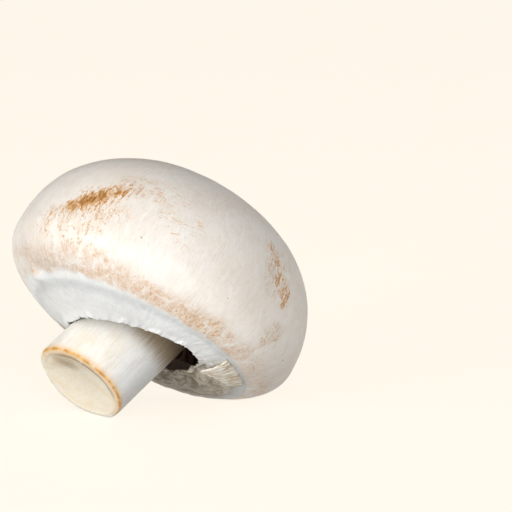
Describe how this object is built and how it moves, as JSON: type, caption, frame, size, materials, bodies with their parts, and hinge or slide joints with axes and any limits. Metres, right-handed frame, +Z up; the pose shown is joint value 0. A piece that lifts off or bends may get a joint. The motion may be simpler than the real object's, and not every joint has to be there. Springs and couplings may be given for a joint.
{
  "type": "button mushroom",
  "caption": "Closed-cup white button mushroom lying on its side, with torn veil, gills and a cut stem.",
  "frame": {"origin": "on the surface it lies on, under the centre of its bounding box", "axes": "+Z up; -Y the way the stem points, level; +X across the cap's widest circle"},
  "size_m": [0.05, 0.044, 0.0412],
  "materials": {
    "cap_skin": "satin",
    "stem_flesh": "matte",
    "gill_flesh": "matte",
    "veil_skin": "matte"
  },
  "bodies": {
    "root": {"cap": "cap_skin", "stem": "stem_flesh", "gills": "gill_flesh", "veil": "veil_skin"}
  },
  "joints": []
}
